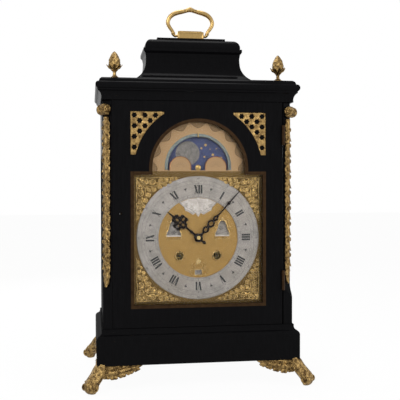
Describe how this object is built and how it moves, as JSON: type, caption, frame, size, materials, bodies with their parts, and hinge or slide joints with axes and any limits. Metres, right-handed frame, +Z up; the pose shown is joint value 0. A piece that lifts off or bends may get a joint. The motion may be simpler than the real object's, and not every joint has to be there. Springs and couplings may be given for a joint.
{
  "type": "bracket clock",
  "caption": "Table clock in an ebonised, bell-topped case with a bail handle, gilt mounts, glazed doors and an arched brass dial with moon phase and calendar, over a striking wheel train.",
  "frame": {"origin": "on the surface that the clock stands on, under the middle of its case", "axes": "+X to the right as seen from the front, +Y to the back, +Z up"},
  "size_m": [0.311, 0.232, 0.518],
  "materials": {
    "ebonised_wood": "ebonised, polished",
    "inner_wood": "plain oak",
    "gilt_brass": "gilt, cast and chased",
    "dial_brass": "matted gilt",
    "silvered_brass": "silvered, brushed",
    "train_brass": "polished",
    "bell_metal": "turned",
    "painted_moon": "painted blue with gold stars",
    "blued_steel": "blued",
    "steel": "polished",
    "clear_glass": "clear"
  },
  "bodies": {
    "case": {"base_plinth": "ebonised_wood", "base_moulding": "ebonised_wood", "base_board": "inner_wood", "feet": "gilt_brass", "corner_posts": "ebonised_wood", "side_panel_left": "ebonised_wood", "side_panel_right": "ebonised_wood", "side_glasses": "clear_glass", "rear_rails": "ebonised_wood", "cornice": "ebonised_wood", "bell_top": "ebonised_wood", "handle_block": "gilt_brass", "finials": "gilt_brass", "corner_mounts": "gilt_brass", "case_hinges": "gilt_brass", "dial_plate": "dial_brass", "chapter_ring": "silvered_brass", "dial_spandrels": "gilt_brass", "moon_arch_ring": "silvered_brass", "dial_cartouche": "silvered_brass", "winding_collets": "gilt_brass", "front_plate": "train_brass", "back_plate": "train_brass", "seat_board": "inner_wood", "back_cock": "train_brass", "bell": "bell_metal", "bell_stand": "steel"},
    "front_door": {"front_door": "ebonised_wood", "door_slip": "gilt_brass", "front_glass": "clear_glass", "door_frets": "gilt_brass", "front_door_hinges": "gilt_brass", "door_lock": "gilt_brass"},
    "lock_bolt": {"lock_bolt": "steel"},
    "rear_door": {"rear_door": "ebonised_wood", "rear_glass": "clear_glass", "rear_door_hinges": "gilt_brass"},
    "handle": {"handle": "gilt_brass"},
    "minute_train": {"centre_wheel": "train_brass", "minute_hand": "blued_steel"},
    "hour_train": {"hour_wheel": "train_brass", "hour_hand": "blued_steel"},
    "minute_wheel": {"minute_wheel": "train_brass"},
    "going_barrel": {"going_barrel": "train_brass"},
    "third_wheel": {"third_wheel": "train_brass"},
    "escape_wheel": {"escape_wheel": "train_brass"},
    "moon_disc": {"moon_disc": "painted_moon"},
    "date_ring": {"date_ring": "silvered_brass"},
    "day_disc": {"day_disc": "silvered_brass"},
    "month_disc": {"month_disc": "silvered_brass"},
    "pendulum": {"pallets": "steel", "pendulum": "train_brass"},
    "pin_wheel": {"pin_wheel": "train_brass"},
    "strike_barrel": {"strike_barrel": "train_brass"},
    "locking_wheel": {"locking_wheel": "train_brass"},
    "fly": {"fly": "train_brass"},
    "hammer": {"hammer": "steel"}
  },
  "joints": [
    {"name": "front_door_hinge", "type": "hinge", "parent": "case", "child": "front_door", "pos_m": [0.11275, -0.0885, 0.2], "axis": [0, 0, 1], "range_deg": [0, 110]},
    {"name": "lock_bolt_slide", "type": "slide", "parent": "front_door", "child": "lock_bolt", "axis": [-1, 0, 0], "range_m": [0, 0.004]},
    {"name": "rear_door_hinge", "type": "hinge", "parent": "case", "child": "rear_door", "pos_m": [0.11275, 0.0885, 0.2], "axis": [0, 0, -1], "range_deg": [0, 110]},
    {"name": "handle_pivot", "type": "hinge", "parent": "case", "child": "handle", "pos_m": [0, 0, 0.47647], "axis": [1, 0, 0], "range_deg": [-88, 88]},
    {"name": "minute_arbor", "type": "hinge", "parent": "case", "child": "minute_train", "pos_m": [0, -0.06, 0.19537], "axis": [0, 1, 0], "continuous": true},
    {"name": "hour_pipe", "type": "hinge", "parent": "case", "child": "hour_train", "pos_m": [0, -0.068, 0.19537], "axis": [0, 1, 0], "continuous": true},
    {"name": "minute_wheel_stud", "type": "hinge", "parent": "case", "child": "minute_wheel", "pos_m": [0, -0.066, 0.21457], "axis": [0, 1, 0], "continuous": true},
    {"name": "going_barrel_arbor", "type": "hinge", "parent": "case", "child": "going_barrel", "pos_m": [0.025, -0.03, 0.17137], "axis": [0, 1, 0], "continuous": true},
    {"name": "third_arbor", "type": "hinge", "parent": "case", "child": "third_wheel", "pos_m": [0.014, -0.03, 0.22105], "axis": [0, 1, 0], "continuous": true},
    {"name": "escape_arbor", "type": "hinge", "parent": "case", "child": "escape_wheel", "pos_m": [0, -0.03, 0.2398], "axis": [0, 1, 0], "continuous": true},
    {"name": "moon_stud", "type": "hinge", "parent": "case", "child": "moon_disc", "pos_m": [0, -0.073, 0.28797], "axis": [0, 1, 0], "continuous": true},
    {"name": "date_turn", "type": "hinge", "parent": "case", "child": "date_ring", "pos_m": [0, -0.073, 0.19537], "axis": [0, 1, 0], "continuous": true},
    {"name": "day_stud", "type": "hinge", "parent": "case", "child": "day_disc", "pos_m": [-0.055, -0.072, 0.20737], "axis": [0, 1, 0], "continuous": true},
    {"name": "month_stud", "type": "hinge", "parent": "case", "child": "month_disc", "pos_m": [0.055, -0.072, 0.20737], "axis": [0, 1, 0], "continuous": true},
    {"name": "pendulum_pivot", "type": "hinge", "parent": "case", "child": "pendulum", "pos_m": [0, 0.0135, 0.2603], "axis": [0, 1, 0], "range_deg": [-5, 5]},
    {"name": "pin_wheel_arbor", "type": "hinge", "parent": "case", "child": "pin_wheel", "pos_m": [-0.039, -0.03, 0.19756], "axis": [0, 1, 0], "continuous": true},
    {"name": "strike_barrel_arbor", "type": "hinge", "parent": "case", "child": "strike_barrel", "pos_m": [-0.025, -0.03, 0.17137], "axis": [0, 1, 0], "continuous": true},
    {"name": "locking_arbor", "type": "hinge", "parent": "case", "child": "locking_wheel", "pos_m": [-0.036, -0.03, 0.21622], "axis": [0, 1, 0], "continuous": true},
    {"name": "fly_arbor", "type": "hinge", "parent": "case", "child": "fly", "pos_m": [-0.033, -0.03, 0.22969], "axis": [0, 1, 0], "continuous": true},
    {"name": "hammer_pivot", "type": "hinge", "parent": "case", "child": "hammer", "pos_m": [-0.047, -0.03, 0.24997], "axis": [0, -1, 0], "range_deg": [0, 12]}
  ],
  "couplings": [
    {"joint": "hour_pipe", "follows": "minute_arbor", "ratio": 0.083333},
    {"joint": "minute_wheel_stud", "follows": "minute_arbor", "ratio": -0.33333},
    {"joint": "going_barrel_arbor", "follows": "minute_arbor", "ratio": -0.1},
    {"joint": "third_arbor", "follows": "minute_arbor", "ratio": -12},
    {"joint": "escape_arbor", "follows": "minute_arbor", "ratio": 144},
    {"joint": "moon_stud", "follows": "minute_arbor", "ratio": 0.00070621},
    {"joint": "date_turn", "follows": "minute_arbor", "ratio": 0.0013441},
    {"joint": "day_stud", "follows": "minute_arbor", "ratio": 0.0059524},
    {"joint": "month_stud", "follows": "minute_arbor", "ratio": 0.00011416},
    {"joint": "strike_barrel_arbor", "follows": "pin_wheel_arbor", "ratio": -0.1},
    {"joint": "locking_arbor", "follows": "pin_wheel_arbor", "ratio": -8},
    {"joint": "fly_arbor", "follows": "pin_wheel_arbor", "ratio": 53.333}
  ]
}
